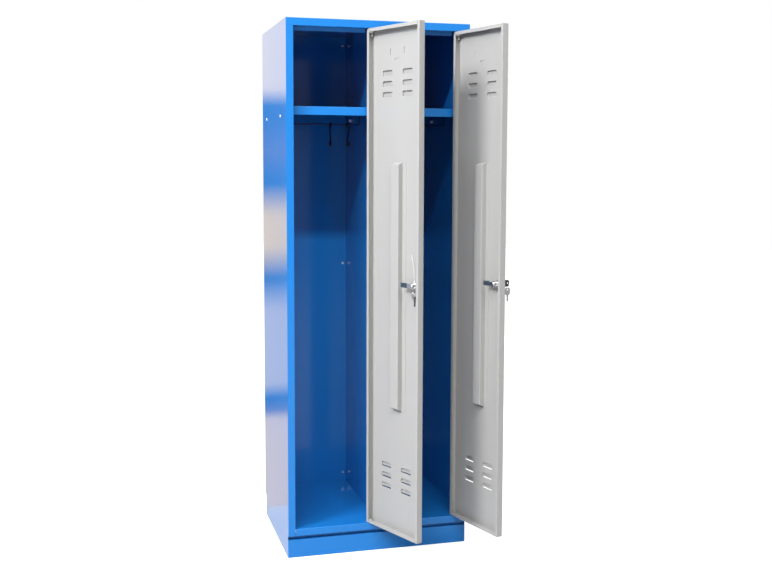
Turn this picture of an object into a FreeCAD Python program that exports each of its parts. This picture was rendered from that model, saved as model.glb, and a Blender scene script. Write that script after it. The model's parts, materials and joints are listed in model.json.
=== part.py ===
import FreeCAD, Part
import math
import os

# Two-door steel school locker on a plinth, drawn with both doors open.
# Frame: origin on the floor at the middle of the footprint, +X to the right, +Y to the back, +Z up.

V = FreeCAD.Vector

# ---------------------------------------------------------------- driving dimensions, mm and degrees
WIDTH = 630.0
DEPTH = 500.0
HEIGHT = 1800.0
SHEET = 1.0                 # thickness of every folded sheet
OUTER_BEND = 2.0            # outside radius of a fold
INNER_BEND = 1.0            # inside radius of a fold

SEAM = 0.4                  # open joint between two faces that lie in one plane
ASSEMBLY_GAP = 0.2          # between a panel's edge and the sheet beside it
CUT = 1.0                   # how far a cutting tool passes a surface
NEAR = 0.001                # two coordinates this close are the same

PLINTH = 76.0               # height of the plinth
PLINTH_FRONT_RECESS = 6.5
PLINTH_REAR_RECESS = 20.0
PLINTH_REBATE = 12.0        # depth of the shadow groove under the sill
PLINTH_REBATE_Z = 61.5      # lower edge of that groove
PLINTH_BOARD_FLANGE = 16.0
FIXING_X = 300.0            # floor fixing holes, from the middle
FIXING_Y = 180.0
FIXING_R = 4.5
PLINTH_FLANGE = 30.0        # floor flange of the side panels

POST = 25.0                 # face width of the front posts and of the top rail
POST_DEPTH = 20.0           # how far the posts fold back
FLOOR_TOP = 100.0           # top of the floor panel and of the sill
REAR_FLANGE = 15.0
RIVET_X = -13.0             # rivets that hold the back panel to the divider
RIVET_Z = (134.6, 951.0, 1769.0)
RIVET_R = 2.4
RIVET_HEAD_R = 4.5
RIVET_HEAD = 1.2
RIVET_TAIL_R = 4.0
BOLT_SLOT = 16.0            # depth, and half the height, of the divider's slot for the lock cam

STOP_IN = 6.0               # door stop, from the side of the opening
STOP_LENGTH = 240.0
STOP_DROP = 14.0
STOP_SHEET = 0.9

DOOR_WIDTH = 272.5
DOOR_DEPTH = 22.0
DOOR_BOTTOM = 102.0
DOOR_TOP = 1773.0
DOOR_LIP = 11.0             # inward lip round the back of a door
NOTCH = 1.2                 # relief at each end of a door's side folds
NOTCH_FROM = 4.0            # where the relief starts, behind the outer face
HINGE_GAP = 3.0             # door edge to post on the hinge side
PIVOT_IN = 9.0              # pivot axis, from the door's hinge edge
PIVOT_BEHIND = 7.0          # pivot axis, behind the door's outer face
LEFT_OPEN = 112.5           # how far each door stands open as drawn
RIGHT_OPEN = 106.0
PIN_R = 3.0
PIVOT_PLAY = 0.5            # round a pivot pin where it passes through the pan
PIN_HEAD_R = 4.8
TOP_PIN_FOOT = 22.0         # lower end of the upper pin, below the door's upper edge
TOP_PIN_UP = 4.0            # how far it stands into the top rail
LOW_PIN_UP = 11.0           # how far the lower pin stands into the door
BRACKET_LEAF = 30.0         # reach of a pivot bracket from the hinge edge
BRACKET_SHEET = 2.0
BRACKET_INSET = 1.2         # between a bracket and the folds round it
BRACKET_BACK = 13.0         # height of its folded back
BRACKET_BOSS_R = 5.5
BRACKET_BOSS = 7.0
BUSH_R = 5.0
BUSH_UP = 6.0
BUSH_COLLAR_R = 7.0
BUSH_COLLAR = 0.9
WASHER_R = 6.5
LIP_RIVET_U = (17.0, 25.0)
LIP_RIVET_IN = 7.5          # from the door's upper or lower edge
LIP_RIVET_R = 1.9
LIP_RIVET_HEAD = 0.6
LOWER_BUFFER_Z = 118.0      # lower ends of the buffer pads
UPPER_BUFFER_Z = 1735.0
BUFFER_HEIGHT = 22.0
BUFFER_WIDTH = 3.6
BUFFER_THICK = 1.4
BUFFER_PLAY = 0.6           # between a pad and the closed door
RUNNING = 0.05              # radial clearance of a running fit

SHELF_TOP = 1517.0
SHELF_LIP = 27.5
SHELF_SETBACK = 30.0        # shelf lip behind the front plane
SHELF_FLANGE = 25.0
SHELF_RETURN = 12.0         # how far the lip turns under
SHELF_NOTCH = 20.0          # from the lip to the side flanges
SHELF_GAP = 0.5             # round the shelf, the divider and the floor panel
RAIL_PLAY = 0.3             # round the rail's ends in the shelf
STUD_Z = 1487.0             # shelf supports
STUD_Y = (-135.5, 156.0)
STUD_R = 5.0                # heads and pegs; the shank is half as thick
STUD_HEAD = 1.2
STUD_ROUND = 0.9
STUD_PEG = 8.0
SLOT_Z = 1503.0             # locking slots over the studs
SLOT_WIDTH = 8.0
SLOT_HEIGHT = 15.0

RAIL_Z = 1467.0             # coat rail axis
RAIL_R = 2.75
RAIL_INSET = 7.5            # rail's upright ends, from the compartment walls
RAIL_BEND = 8.0
RAIL_UP = 3.0               # how far the rail's ends stand out of the shelf
NUT_R = 7.0                 # push nuts on those ends
NUT_THICK = 1.2
HOOK_WIRE_R = 2.5
HOOK_PLAY = 0.5             # under the eye, where it rests on the rail
HOOK_LOOP_R = 9.5           # centreline radius of the eye round the rail
HOOK_MOUTH_R = 7.0          # centreline radius of the open lower hook
HOOK_DROP = 65.2            # eye centre to lower hook centre
HOOK_EYE_END = 250.0        # where the eye's wire ends, degrees
HOOK_TIP = 9.0              # straight end of the lower hook
HOOK_TURN = (0.0, -44.0)    # how far each hook is turned about the vertical
LEFT_HOOK_X = (-114.3, -50.3)
RIGHT_HOOK_X = (130.0, 195.0)

LOUVRE_LENGTH = 52.0
LOUVRE_HEIGHT = 16.0
LOUVRE_RISE = 6.0           # how far a louvre stands out
LOUVRE_CORNER = 7.0         # its two upper corners
LOUVRE_EDGE = 4.5           # its rolled upper edge
LOUVRE_COLUMNS = (84.0, 188.5)
LOUVRE_ROWS = (1626.0, 1591.0, 1556.0, 320.0, 284.5, 248.5)

CARD_U = 136.0              # middle of the name card holder
CARD_SIDES_Z = 1692.0       # middle of its two upright bridges
CARD_FOOT_Z = 1666.0        # middle of the bridge under the card
CARD_SIDE_U = 36.0
BRIDGE_WIDTH = 6.0
BRIDGE_SIDE_HEIGHT = 24.0
BRIDGE_FOOT_LENGTH = 28.0
BRIDGE_RISE = 1.5
BRIDGE_EDGE = 1.5           # sheet left on each side of a bridge's slot

STIFFENER_Z = (515.0, 1335.0)
STIFFENER_U = 146.0         # middle of the stiffener, from the hinge edge
STIFFENER_CROWN = 38.0
STIFFENER_BRIM = 20.0
STIFFENER_HEIGHT = 18.0
STIFFENER_SLOPE = 9.0       # length of its closed, sloping ends
STIFFENER_END = 1.2         # the sheet of those ends, measured along z

LOCK_IN = 30.0              # lock axis, from the door's free edge
LOCK_Z = 940.0
LOCK_HEAD_R = 11.5
LOCK_HEAD = 3.5             # how far the lock's head stands out
LOCK_HEAD_ROUND = 1.2
BARREL_R = 9.4
LOCK_NUT_CORNER = 14.0      # hexagon's corners, before they are turned down
LOCK_NUT_R = 13.2
LOCK_NUT_THICK = 5.0
PLUG_R = 6.5
PLUG_FRONT = 3.3
KEYWAY_WIDTH = 2.8
KEYWAY_HEIGHT = 9.2
KEYWAY_DEPTH = 19.5
TENON = 4.0                 # half the plug's square end
CAM_BACK = 24.6             # front face of the cam, behind the door's outer face
CAM_THICK = 2.0
CAM_REACH = 52.0
CAM_WIDTH = 12.0
SLEEVE_LENGTH = 29.0
SLEEVE_WALL = 1.5
SLEEVE_ROUND = 1.2
SLEEVE_RIM = 2.7            # half the sleeve's thickness
SCREW_FLANGE_R = 8.6
SCREW_FLANGE = 1.4
SCREW_CORNER = 7.2          # corners of its hexagon head
SCREW_HEAD = 4.2

KEY_THICK = 2.0
BOW_HOLE_R = 3.0
KEY_HEAD = 6.0              # ring hole's centre, from the end of the bow
BOW_CORNER = 5.0
LOCK_KEY = (22.0, 24.0, 32.0, 8.0)      # bow across and along, blade along and across
HANGING_KEY = (20.0, 25.0, 21.0, 6.5)
SPARE_KEY = (20.0, 22.0, 23.0, 6.5)
BLADE_POINT = 0.3           # chamfers at its tip, as a part of its width
TOOTH_ROOT = 0.22           # foot of its cuts from the middle, as a part of its width
TOOTH_COUNT = 3
TOOTH_PITCH = 4.5
TOOTH_FIRST = 4.0
TOOTH_WIDTH = 2.0
KEY_HOLE_V = -32.0          # ring hole of the key in the lock
RING_R = 8.5
RING_WIRE_R = 0.9
LINK_PLAY = 0.3             # between two links that hang in one another

TIE_V = 12.0                # middle of the cable tie
TIE_WIDTH = 2.4
TIE_THICK = 1.1
TIE_PLAY = 0.4              # between the tie and the lock barrel
TIE_FOOT_R = 5.0            # inside radius of the loop's lower end
TIE_FOOT_DROP = 22.0
TIE_HEAD = 5.0
TIE_TAIL = 90.0             # height of the tail that stands up
TIE_BOW = 5.0               # how far its middle leans to the hinge
TIE_LEAN = 17.0             # how far its tip leans to the hinge
SPARE_TURN = 30.0           # plate of the left spare key, turned from square to the door
SPARE_HOLE_R = 4.2
SPARE_RIM = 2.2             # upper rim of its hole, above the middle of the tie

LOCK_U = DOOR_WIDTH - LOCK_IN
LEFT = -WIDTH / 2
RIGHT = WIDTH / 2
FRONT = -DEPTH / 2
REAR = DEPTH / 2
RAIL_BOTTOM = HEIGHT - POST
BACK_FACE = REAR - 2 * SHEET        # front face of the back panel
PIVOT_Y = FRONT + PIVOT_BEHIND
LEFT_PIVOT_X = -POST / 2 - HINGE_GAP - PIVOT_IN
RIGHT_PIVOT_X = RIGHT - POST - HINGE_GAP - PIVOT_IN
UP = V(0, 0, 1)


# ---------------------------------------------------------------- helpers
def box(x0, x1, y0, y1, z0, z1):
    return Part.makeBox(x1 - x0, y1 - y0, z1 - z0, V(x0, y0, z0))


def rod(radius, start, end):
    return Part.makeCylinder(radius, start.distanceToPoint(end), start, end - start)


def ring(outer, inner, start, end):
    return rod(outer, start, end).cut(rod(inner, start, end))


def joined(solids):
    return solids[0].multiFuse(solids[1:]).removeSplitter()


def edges_at(shape, **place):
    """Straight edges whose two ends both have the coordinates given, such as x=0, y=5."""
    found = []
    for edge in shape.Edges:
        ends = [vertex.Point for vertex in edge.Vertexes]
        if len(ends) == 2 and all(
            abs(getattr(end, axis) - value) < NEAR for end in ends for axis, value in place.items()
        ):
            found.append(edge)
    return found


def bend(shape, outer, inner):
    """Rounds one fold of a sheet: the outside edge and the inside edge that is one sheet away."""
    shape = shape.makeFillet(OUTER_BEND, edges_at(shape, **outer))
    return shape.makeFillet(INNER_BEND, edges_at(shape, **inner))


def tube(radius, path):
    """A round wire along a path of tangent lines and arcs."""
    first = path.Edges[0]
    start = first.valueAt(first.FirstParameter)
    heading = first.tangentAt(first.FirstParameter)
    section = Part.Wire(Part.makeCircle(radius, start, heading))
    return path.makePipeShell([section], True, False)


def arc(a, b, c):
    return Part.Arc(a, b, c).toShape()


def line(a, b):
    return Part.makeLine(a, b)


def mirrored(shape):
    return shape.mirror(V(0, 0, 0), V(1, 0, 0))


def save(name, *solids):
    shape = solids[0] if len(solids) == 1 else Part.makeCompound(solids)
    if not shape.isValid():
        raise RuntimeError(name + " is not a valid shape")
    shape.exportStep("parts/" + name + ".step")


# ---------------------------------------------------------------- cabinet
def left_side_panel():
    floor_edge = FRONT + PLINTH_FRONT_RECESS + SHEET + ASSEMBLY_GAP
    panel = joined([
        box(LEFT, LEFT + SHEET, floor_edge, REAR - PLINTH_REAR_RECESS, 0, PLINTH),
        box(LEFT, LEFT + SHEET, FRONT, REAR, PLINTH, RAIL_BOTTOM - SEAM),
        box(LEFT, LEFT + SHEET, FRONT + 2 * SHEET, REAR, RAIL_BOTTOM - SEAM, HEIGHT - SHEET),
        box(LEFT, LEFT + POST, FRONT, FRONT + SHEET, PLINTH, RAIL_BOTTOM - SEAM),
        box(LEFT + POST - SHEET, LEFT + POST, FRONT, FRONT + POST_DEPTH, FLOOR_TOP, RAIL_BOTTOM - SEAM),
        box(LEFT, LEFT + REAR_FLANGE, REAR - SHEET, REAR, PLINTH, HEIGHT - SHEET),
        box(LEFT, LEFT + PLINTH_FLANGE, -FIXING_Y - PLINTH_FLANGE, FIXING_Y + PLINTH_FLANGE, 0, SHEET),
    ])
    panel = bend(panel, {"x": LEFT + POST, "y": FRONT}, {"x": LEFT + POST - SHEET, "y": FRONT + SHEET})
    panel = panel.makeFillet(OUTER_BEND, edges_at(panel, x=LEFT, y=REAR))
    holes = [rod(FIXING_R, V(-FIXING_X, side * FIXING_Y, -CUT), V(-FIXING_X, side * FIXING_Y, SHEET + CUT))
             for side in (-1, 1)]
    return panel.cut(holes + shelf_holes(LEFT, LEFT + SHEET))


def shelf_holes(x0, x1):
    """The holes for the shelf studs and the locking slots over them, through the sheet from x0 to x1."""
    holes = []
    for y in STUD_Y:
        holes.append(rod(STUD_R / 2, V(x0 - CUT, y, STUD_Z), V(x1 + CUT, y, STUD_Z)))
        holes.append(box(x0 - CUT, x1 + CUT, y - SLOT_WIDTH / 2, y + SLOT_WIDTH / 2,
                         SLOT_Z - SLOT_HEIGHT / 2, SLOT_Z + SLOT_HEIGHT / 2))
    return holes


def roof_panel():
    roof = joined([
        box(LEFT, RIGHT, FRONT, REAR, HEIGHT - SHEET, HEIGHT),
        box(LEFT, RIGHT, FRONT, FRONT + SHEET, RAIL_BOTTOM, HEIGHT),
        box(LEFT + SHEET, RIGHT - SHEET, FRONT, FRONT + POST_DEPTH, RAIL_BOTTOM, RAIL_BOTTOM + SHEET),
        box(LEFT + REAR_FLANGE, RIGHT - REAR_FLANGE, REAR - SHEET, REAR, HEIGHT - REAR_FLANGE, HEIGHT),
    ])
    roof = roof.makeFillet(OUTER_BEND, edges_at(roof, y=FRONT, z=HEIGHT))
    roof = roof.makeFillet(INNER_BEND, edges_at(roof, y=FRONT + SHEET, z=HEIGHT - SHEET))
    holes = [rod(BUSH_R, V(x, PIVOT_Y, RAIL_BOTTOM - CUT), V(x, PIVOT_Y, RAIL_BOTTOM + SHEET + CUT))
             for x in (LEFT_PIVOT_X, RIGHT_PIVOT_X)]
    return roof.cut(holes)


def floor_panel():
    inside = RIGHT - POST - SEAM
    wall = RIGHT - SHEET - ASSEMBLY_GAP
    rear = BACK_FACE - SHELF_GAP
    floor = joined([
        box(-inside, inside, FRONT, FRONT + POST_DEPTH, FLOOR_TOP - SHEET, FLOOR_TOP),
        box(-wall, wall, FRONT + POST_DEPTH, rear, FLOOR_TOP - SHEET, FLOOR_TOP),
        box(-inside, inside, FRONT, FRONT + SHEET, PLINTH, FLOOR_TOP),
        box(-inside, inside, FRONT, FRONT + POST_DEPTH, PLINTH, PLINTH + SHEET),
        box(-wall, wall, rear - SHEET, rear, PLINTH + SHEET, FLOOR_TOP),
    ])
    floor = bend(floor, {"y": FRONT, "z": FLOOR_TOP}, {"y": FRONT + SHEET, "z": FLOOR_TOP - SHEET})
    holes = [rod(PIN_R, V(x, PIVOT_Y, FLOOR_TOP - SHEET - CUT), V(x, PIVOT_Y, FLOOR_TOP + CUT))
             for x in (LEFT_PIVOT_X, RIGHT_PIVOT_X)]
    return floor.cut(holes)


def rivet_holes():
    return [rod(RIVET_R, V(RIVET_X, BACK_FACE - SHEET - CUT, z), V(RIVET_X, REAR, z)) for z in RIVET_Z]


def divider_panel():
    half = SHEET / 2
    top = HEIGHT - SHEET - SHELF_GAP
    bottom = FLOOR_TOP + 3 * SHELF_GAP
    divider = joined([
        box(-half, half, FRONT + SHEET, BACK_FACE, bottom, top),
        box(half - POST, half, BACK_FACE - SHEET, BACK_FACE, bottom, top),
    ])
    rear_of_post = FRONT + POST_DEPTH
    top_notch = box(-half - CUT, half + CUT, FRONT, rear_of_post + SHELF_GAP,
                    RAIL_BOTTOM - SHELF_GAP, HEIGHT)
    bolt_slot = box(-half - CUT, half + CUT, rear_of_post + SHEET, rear_of_post + SHEET + BOLT_SLOT,
                    LOCK_Z - BOLT_SLOT, LOCK_Z + BOLT_SLOT)
    return divider.cut([top_notch, bolt_slot] + rivet_holes() + shelf_holes(-half, half))


def centre_post():
    half = POST / 2
    post = box(-half, half, FRONT, FRONT + POST_DEPTH, FLOOR_TOP + SEAM, RAIL_BOTTOM - SEAM)
    post = post.makeFillet(OUTER_BEND, edges_at(post, x=-half, y=FRONT) + edges_at(post, x=half, y=FRONT))
    hollow = box(SHEET - half, half - SHEET, FRONT + SHEET, REAR, FLOOR_TOP, HEIGHT)
    return post.cut(hollow)


def back_panel():
    side = RIGHT - SHEET - ASSEMBLY_GAP
    panel = box(-side, side, BACK_FACE, BACK_FACE + SHEET, PLINTH + SHEET, HEIGHT - SHEET)
    return panel.cut(rivet_holes())


def door_stop(opening_left):
    """Strip under the top rail that the door's upper edge closes against."""
    start = opening_left + STOP_IN
    end = start + STOP_LENGTH
    face = FRONT + DOOR_DEPTH + SHEET
    return joined([
        box(start, end, face, face + SHEET, RAIL_BOTTOM - STOP_DROP, RAIL_BOTTOM),
        box(start, end, FRONT + PIVOT_BEHIND + SHEET, face + SHEET, RAIL_BOTTOM - STOP_SHEET, RAIL_BOTTOM),
    ])


def plinth_front_board():
    """Its upper part steps back under the sill, and both edges are turned inwards."""
    face = FRONT + PLINTH_FRONT_RECESS
    groove = face + PLINTH_REBATE
    inside = RIGHT - 2 * SHEET
    return joined([
        box(LEFT, RIGHT, face, face + SHEET, 0, PLINTH_REBATE_Z),
        box(-inside, inside, face, groove + SHEET, PLINTH_REBATE_Z - SHEET, PLINTH_REBATE_Z),
        box(-inside, inside, groove, groove + SHEET, PLINTH_REBATE_Z - SHEET, PLINTH),
        box(-inside, inside, groove, groove + PLINTH_BOARD_FLANGE, PLINTH - SHEET, PLINTH),
        box(-inside, inside, face, face + PLINTH_BOARD_FLANGE, 0, SHEET),
    ])


def plinth_rear_board():
    face = REAR - PLINTH_REAR_RECESS
    inside = RIGHT - 2 * SHEET
    return joined([
        box(LEFT + SHEET, RIGHT - SHEET, face - SHEET, face, 0, PLINTH),
        box(-inside, inside, face - PLINTH_BOARD_FLANGE, face, 0, SHEET),
        box(-inside, inside, face - PLINTH_BOARD_FLANGE, face, PLINTH - SHEET, PLINTH),
    ])


def shelf():
    """The left shelf. The lip turns under, and the sides and the back turn down."""
    x0 = LEFT + SHEET + SHELF_GAP
    x1 = -SHEET / 2 - SHELF_GAP
    y0 = FRONT + SHELF_SETBACK
    y1 = BACK_FACE - SHEET - SHELF_GAP
    flange = SHELF_TOP - SHELF_FLANGE
    lip = SHELF_TOP - SHELF_LIP
    folded = joined([
        box(x0, x1, y0, y1, SHELF_TOP - SHEET, SHELF_TOP),
        box(x0, x1, y0, y0 + SHEET, lip, SHELF_TOP),
        box(x0, x1, y0, y0 + SHELF_RETURN, lip, lip + SHEET),
        box(x0, x0 + SHEET, y0 + SHELF_NOTCH, y1, flange, SHELF_TOP),
        box(x1 - SHEET, x1, y0 + SHELF_NOTCH, y1, flange, SHELF_TOP),
        box(x0, x1, y1 - SHEET, y1, flange, SHELF_TOP),
    ])
    folded = bend(folded, {"y": y0, "z": SHELF_TOP}, {"y": y0 + SHEET, "z": SHELF_TOP - SHEET})
    holes = [rod(RAIL_R + RAIL_PLAY, V(x, 0, SHELF_TOP - SHEET - CUT), V(x, 0, SHELF_TOP + CUT))
             for x in rail_ends()]
    return folded.cut(holes)


def rail_ends():
    return LEFT + SHEET + RAIL_INSET, -SHEET / 2 - RAIL_INSET


def coat_rail():
    """The left coat rail: a round bar whose ends turn up through the shelf."""
    x0, x1 = rail_ends()
    top = SHELF_TOP + RAIL_UP
    r = RAIL_BEND
    d = r * (1 - math.sqrt(0.5))
    path = Part.Wire([
        line(V(x0, 0, top), V(x0, 0, RAIL_Z + r)),
        arc(V(x0, 0, RAIL_Z + r), V(x0 + d, 0, RAIL_Z + d), V(x0 + r, 0, RAIL_Z)),
        line(V(x0 + r, 0, RAIL_Z), V(x1 - r, 0, RAIL_Z)),
        arc(V(x1 - r, 0, RAIL_Z), V(x1 - d, 0, RAIL_Z + d), V(x1, 0, RAIL_Z + r)),
        line(V(x1, 0, RAIL_Z + r), V(x1, 0, top)),
    ])
    return tube(RAIL_R, path)


def push_nuts():
    nuts = []
    for x in rail_ends():
        for place in (x, -x):
            base = V(place, 0, SHELF_TOP)
            nuts.append(ring(NUT_R, RAIL_R, base, base + UP * NUT_THICK))
    return nuts


def shelf_supports():
    """Headed studs through the side panels, and plain ones through the divider."""
    studs = []
    for y in STUD_Y:
        def place(x, y=y):
            return V(x, y, STUD_Z)
        left = joined([
            rod(STUD_R, place(LEFT - STUD_HEAD), place(LEFT)),
            rod(STUD_R / 2, place(LEFT - STUD_HEAD), place(LEFT + SHEET + CUT)),
            rod(STUD_R, place(LEFT + SHEET), place(LEFT + SHEET + STUD_PEG)),
        ])
        left = left.makeFillet(STUD_ROUND, outer_rim(left, LEFT - STUD_HEAD))
        half = SHEET / 2
        middle = joined([
            rod(STUD_R, place(-half - STUD_PEG), place(-half)),
            rod(STUD_R / 2, place(-half - CUT), place(half + CUT)),
            rod(STUD_R, place(half), place(half + STUD_PEG)),
        ])
        studs += [left, middle, mirrored(left)]
    return studs


def outer_rim(shape, x):
    """The round edge that lies in the plane at x."""
    return [edge for edge in shape.Edges
            if abs(edge.BoundBox.XMin - x) < NEAR and abs(edge.BoundBox.XMax - x) < NEAR]


def back_rivets():
    rivets = []
    for z in RIVET_Z:
        face = V(RIVET_X, BACK_FACE - SHEET, z)
        back = V(RIVET_X, BACK_FACE + SHEET, z)
        rivets.append(joined([
            rod(RIVET_HEAD_R, face - V(0, RIVET_HEAD, 0), face),
            rod(RIVET_R, face, back),
            rod(RIVET_TAIL_R, back, V(RIVET_X, REAR, z)),
        ]))
    return rivets


def s_hook(x, turn):
    """A wire S hook whose eye hangs on the rail. Drawn in the X-Z plane, then turned into place."""
    rest = RAIL_R + HOOK_WIRE_R + HOOK_PLAY     # the wire's centreline above the rail's axis
    eye = UP * (rest - HOOK_LOOP_R)
    mouth = eye - UP * HOOK_DROP
    lean = math.degrees(math.asin((HOOK_LOOP_R + HOOK_MOUTH_R) / HOOK_DROP))

    def on(centre, radius, degrees):
        a = math.radians(degrees)
        return centre + V(radius * math.cos(a), 0, radius * math.sin(a))

    spine_top = on(eye, HOOK_LOOP_R, -lean)
    spine_foot = on(mouth, HOOK_MOUTH_R, 180 - lean)
    tip = on(mouth, HOOK_MOUTH_R, 360)
    path = Part.Wire([
        arc(on(eye, HOOK_LOOP_R, HOOK_EYE_END), on(eye, HOOK_LOOP_R, 90), spine_top),
        line(spine_top, spine_foot),
        arc(spine_foot, on(mouth, HOOK_MOUTH_R, 270), tip),
        line(tip, tip + UP * HOOK_TIP),
    ])
    hook = tube(HOOK_WIRE_R, path)
    hook.rotate(V(0, 0, 0), UP, 90 + turn)
    hook.translate(V(x, 0, RAIL_Z))
    return hook


# ---------------------------------------------------------------- doors
# A door is drawn closed, with its pivot axis at the origin. In it, u runs from the hinge edge to the
# free edge, v from the outer face inwards, and z up.
def at(u, v, z):
    return V(PIVOT_IN - u, v - PIVOT_BEHIND, z)


def door_box(u0, u1, v0, v1, z0, z1):
    return box(PIVOT_IN - u1, PIVOT_IN - u0, v0 - PIVOT_BEHIND, v1 - PIVOT_BEHIND, z0, z1)


def door_rod(radius, u, z, v0, v1):
    return rod(radius, at(u, v0, z), at(u, v1, z))


def louvre_block(u, z, inset, back):
    """The outside of a louvre, or the space inside it when inset by one sheet."""
    half = LOUVRE_LENGTH / 2 - inset
    low = z - LOUVRE_HEIGHT / 2
    high = z + LOUVRE_HEIGHT / 2 - inset
    front = at(u, inset - LOUVRE_RISE, z).y
    block = door_box(u - half, u + half, inset - LOUVRE_RISE, back, low - inset, high)
    corners = [edge for edge in block.Edges
               if edge.BoundBox.YLength > LOUVRE_RISE - inset and edge.BoundBox.ZMin > z]
    block = block.makeFillet(LOUVRE_CORNER - inset, corners)
    rolled = [edge for edge in block.Edges
              if abs(edge.BoundBox.YMin - front) < NEAR and abs(edge.BoundBox.YMax - front) < NEAR
              and edge.BoundBox.ZMax > low]
    return block.makeFillet(LOUVRE_EDGE - inset, rolled)


def louvre(u, z):
    """One louvre pressed outwards and open along its lower edge, and the space inside it."""
    space = louvre_block(u, z, SHEET, SHEET + CUT)
    return louvre_block(u, z, 0, SHEET / 2).cut(space), space


def card_holder():
    """Three bridges pressed outwards, which hold a name card, and the slots behind them."""
    bridges, slots = [], []
    for u, z, across, tall in ((CARD_U - CARD_SIDE_U, CARD_SIDES_Z, BRIDGE_WIDTH, BRIDGE_SIDE_HEIGHT),
                               (CARD_U + CARD_SIDE_U, CARD_SIDES_Z, BRIDGE_WIDTH, BRIDGE_SIDE_HEIGHT),
                               (CARD_U, CARD_FOOT_Z, BRIDGE_FOOT_LENGTH, BRIDGE_WIDTH)):
        du, dz = across / 2, tall / 2
        edge_u, edge_z = (0, BRIDGE_EDGE) if tall > across else (BRIDGE_EDGE, 0)
        slot = door_box(u - du + edge_u, u + du - edge_u, -SHEET / 2, SHEET + CUT,
                        z - dz + edge_z, z + dz - edge_z)
        bridges.append(door_box(u - du, u + du, -BRIDGE_RISE, SHEET / 2, z - dz, z + dz).cut(slot))
        slots.append(slot)
    return bridges, slots


def door_panel():
    """A pan with folded edges and inward lips, louvres, card holder and holes."""
    w, t, z0, z1 = DOOR_WIDTH, DOOR_DEPTH, DOOR_BOTTOM, DOOR_TOP
    s = SHEET
    lip_gap = DOOR_LIP + 1.5 * s                 # where an end lip stops short of a side lip

    def pan(inset, radius, back):
        block = door_box(inset, w - inset, inset, back, z0 + inset, z1 - inset)
        face = at(0, inset, 0).y
        return block.makeFillet(radius, [edge for edge in block.Edges
                                         if abs(edge.BoundBox.YMin - face) < NEAR
                                         and abs(edge.BoundBox.YMax - face) < NEAR])

    shell = pan(0, OUTER_BEND, t).cut(pan(s, INNER_BEND, t + CUT))
    side_lips = [door_box(s, DOOR_LIP, t - s, t, z0, z1), door_box(w - DOOR_LIP, w - s, t - s, t, z0, z1)]
    end_lips = [door_box(lip_gap, w - lip_gap, t - s, t, z0 + s, z0 + DOOR_LIP),
                door_box(lip_gap, w - lip_gap, t - s, t, z1 - DOOR_LIP, z1 - s)]
    notches = [door_box(u, u + NOTCH, NOTCH_FROM, t + CUT, z - s - CUT, z + s + CUT)
               for u in (s, w - s - NOTCH) for z in (z0, z1)]
    hoods, holes = [], []
    for u in LOUVRE_COLUMNS:
        for z in LOUVRE_ROWS:
            hood, hole = louvre(u, z)
            hoods.append(hood)
            holes.append(hole)
    bridges, slots = card_holder()
    panel = shell.cut(notches + holes + slots).multiFuse(side_lips + end_lips + hoods + bridges)
    pivot_holes = [rod(PIN_R + PIVOT_PLAY, V(0, 0, z - s - CUT), V(0, 0, z + s + CUT)) for z in (z0, z1)]
    lock_hole = door_rod(BARREL_R, LOCK_U, LOCK_Z, -CUT, s + CUT)
    return panel.cut(pivot_holes + [lock_hole]).removeSplitter()


def ridge(half_width, back, z0, z1, slope):
    """A bar along the inside of the pan whose two ends slope down to it."""
    profile = Part.makePolygon([at(STIFFENER_U - half_width, v, z) for v, z in (
        (SHEET, z0), (back, z0 + slope), (back, z1 - slope), (SHEET, z1), (SHEET, z0))])
    return Part.Face(profile).extrude(V(-2 * half_width, 0, 0))


def long_edges(shape, v):
    """The two upright edges of a ridge that lie in the plane v."""
    face = at(0, v, 0).y
    return [edge for edge in edges_at(shape, y=face) if edge.BoundBox.ZLength > STIFFENER_CROWN]


def door_stiffener():
    """Top-hat channel on the inside of the pan, closed by a slope at each end."""
    z0, z1 = STIFFENER_Z
    crown = STIFFENER_CROWN / 2
    brim = crown + STIFFENER_BRIM
    height = SHEET + STIFFENER_HEIGHT
    outside = ridge(crown + SHEET, height + SHEET, z0 + STIFFENER_END, z1 - STIFFENER_END, STIFFENER_SLOPE)
    inside = ridge(crown, height, z0 + 2 * STIFFENER_END, z1 - 2 * STIFFENER_END,
                   STIFFENER_SLOPE)
    outside = outside.makeFillet(OUTER_BEND, long_edges(outside, height + SHEET))
    inside = inside.makeFillet(INNER_BEND, long_edges(inside, height))
    brims = door_box(STIFFENER_U - brim, STIFFENER_U + brim, SHEET, 2 * SHEET, z0, z1)
    return joined([brims, outside]).cut(inside)


def pivot_bracket(z, inward):
    """A folded plate in the door's hinge corner, with the bearing hole for the pivot pin."""
    flange = z + inward * (SHEET + RUNNING)
    face = flange + inward * BRACKET_SHEET
    inset = SHEET + BRACKET_INSET
    rear = DOOR_DEPTH - inset
    leaf = door_box(inset, BRACKET_LEAF, inset, rear, *sorted((flange, face)))
    back = door_box(DOOR_LIP + inset, BRACKET_LEAF, rear - BRACKET_SHEET, rear,
                    *sorted((flange, flange + inward * BRACKET_BACK)))
    boss = rod(BRACKET_BOSS_R, V(0, 0, face), V(0, 0, face + inward * BRACKET_BOSS))
    hole = rod(PIN_R + RUNNING, V(0, 0, z - DOOR_DEPTH), V(0, 0, z + DOOR_DEPTH))
    return joined([leaf, back, boss]).cut(hole)


def bracket_rivets():
    """Rivets through the lips into the two pivot brackets."""
    return [door_rod(LIP_RIVET_R, u, z, DOOR_DEPTH, DOOR_DEPTH + LIP_RIVET_HEAD)
            for z in (DOOR_BOTTOM + LIP_RIVET_IN, DOOR_TOP - LIP_RIVET_IN) for u in LIP_RIVET_U]


def top_pivot_pin():
    foot = DOOR_TOP - TOP_PIN_FOOT
    return joined([rod(PIN_R, UP * foot, UP * (RAIL_BOTTOM + TOP_PIN_UP)),
                   rod(PIN_HEAD_R, UP * (foot - PIN_R), UP * foot)])


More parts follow.
